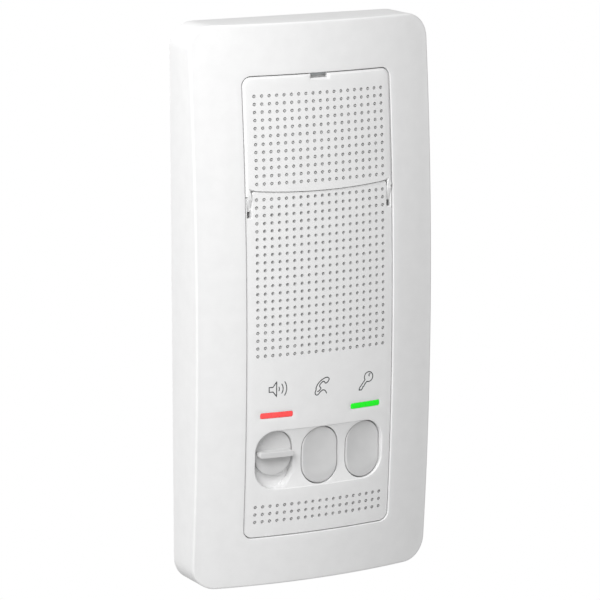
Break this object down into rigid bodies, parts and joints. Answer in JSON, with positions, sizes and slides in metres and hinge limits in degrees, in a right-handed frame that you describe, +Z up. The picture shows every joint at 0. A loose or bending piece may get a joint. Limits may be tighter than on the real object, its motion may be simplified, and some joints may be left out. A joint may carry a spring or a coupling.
{
  "type": "wall intercom",
  "caption": "Hands-free door intercom for a wall, with loudspeaker grille, volume slider, talk and door keys, light bars and a hinged service cover.",
  "frame": {"origin": "centre of the back plate's rear face, which lies on the wall", "axes": "+Z up, +Y into the wall, so the front faces -Y; +X is to the right seen from the front"},
  "size_m": [0.086, 0.0235, 0.184],
  "materials": {
    "shell_white": "fine satin",
    "key_grey": "satin",
    "inner_plastic": "moulded",
    "dark_plastic": "moulded",
    "terminal_green": "moulded",
    "zinc_steel": "zinc plated",
    "basket_steel": "plated",
    "ferrite": "sintered",
    "paper": "pressed pulp",
    "cloth": "woven",
    "foam": "closed cell",
    "board": "solder mask",
    "copper": "enamelled",
    "aluminium_can": "drawn",
    "red_lens": "translucent",
    "green_lens": "translucent",
    "lead_red": "PVC insulation"
  },
  "bodies": {
    "housing": {"back_plate": "inner_plastic", "front_frame": "shell_white", "chassis": "inner_plastic", "front_panel": "shell_white", "red_light_bar": "red_lens", "green_light_bar": "green_lens", "button_guide": "inner_plastic", "circuit_board": "board", "switch_bodies": "dark_plastic", "slide_pot": "zinc_steel", "red_led": "dark_plastic", "green_led": "dark_plastic", "terminal_block": "terminal_green", "terminal_screws": "zinc_steel", "capacitors": "aluminium_can", "amplifier_chips": "dark_plastic", "small_parts": "dark_plastic", "speaker_header": "dark_plastic", "mic_header": "dark_plastic", "dust_cloth": "cloth", "speaker_gasket": "foam", "speaker_basket": "basket_steel", "speaker_top_plate": "zinc_steel", "speaker_magnet": "ferrite", "speaker_yoke": "zinc_steel", "voice_coil": "copper", "speaker_cone": "paper", "speaker_dust_cap": "paper", "mic_capsule": "aluminium_can", "mic_boot": "foam", "frame_screws": "zinc_steel", "panel_screws": "zinc_steel", "board_screws": "zinc_steel", "guide_screws": "zinc_steel", "lock_screws": "zinc_steel", "speaker_screws": "zinc_steel", "speaker_leads": "lead_red", "mic_leads": "lead_red"},
    "volume": {"volume_knob": "key_grey", "pot_lever": "dark_plastic"},
    "talk": {"talk_button": "key_grey", "talk_plunger": "dark_plastic"},
    "door": {"door_button": "key_grey", "door_plunger": "dark_plastic"},
    "cover": {"service_cover": "shell_white"}
  },
  "joints": [
    {"name": "volume_slide", "type": "slide", "parent": "housing", "child": "volume", "axis": [0, 0, -1], "range_m": [0, 0.0042]},
    {"name": "talk_press", "type": "slide", "parent": "housing", "child": "talk", "axis": [0, 1, 0], "range_m": [0, 0.001], "stiffness_N_per_m": 1500, "springref_m": -0.0008},
    {"name": "door_press", "type": "slide", "parent": "housing", "child": "door", "axis": [0, 1, 0], "range_m": [0, 0.001], "stiffness_N_per_m": 1500, "springref_m": -0.0008},
    {"name": "cover_tilt", "type": "hinge", "parent": "housing", "child": "cover", "pos_m": [0, -0.0199, 0.0332], "axis": [1, 0, 0], "range_deg": [0, 60]}
  ]
}
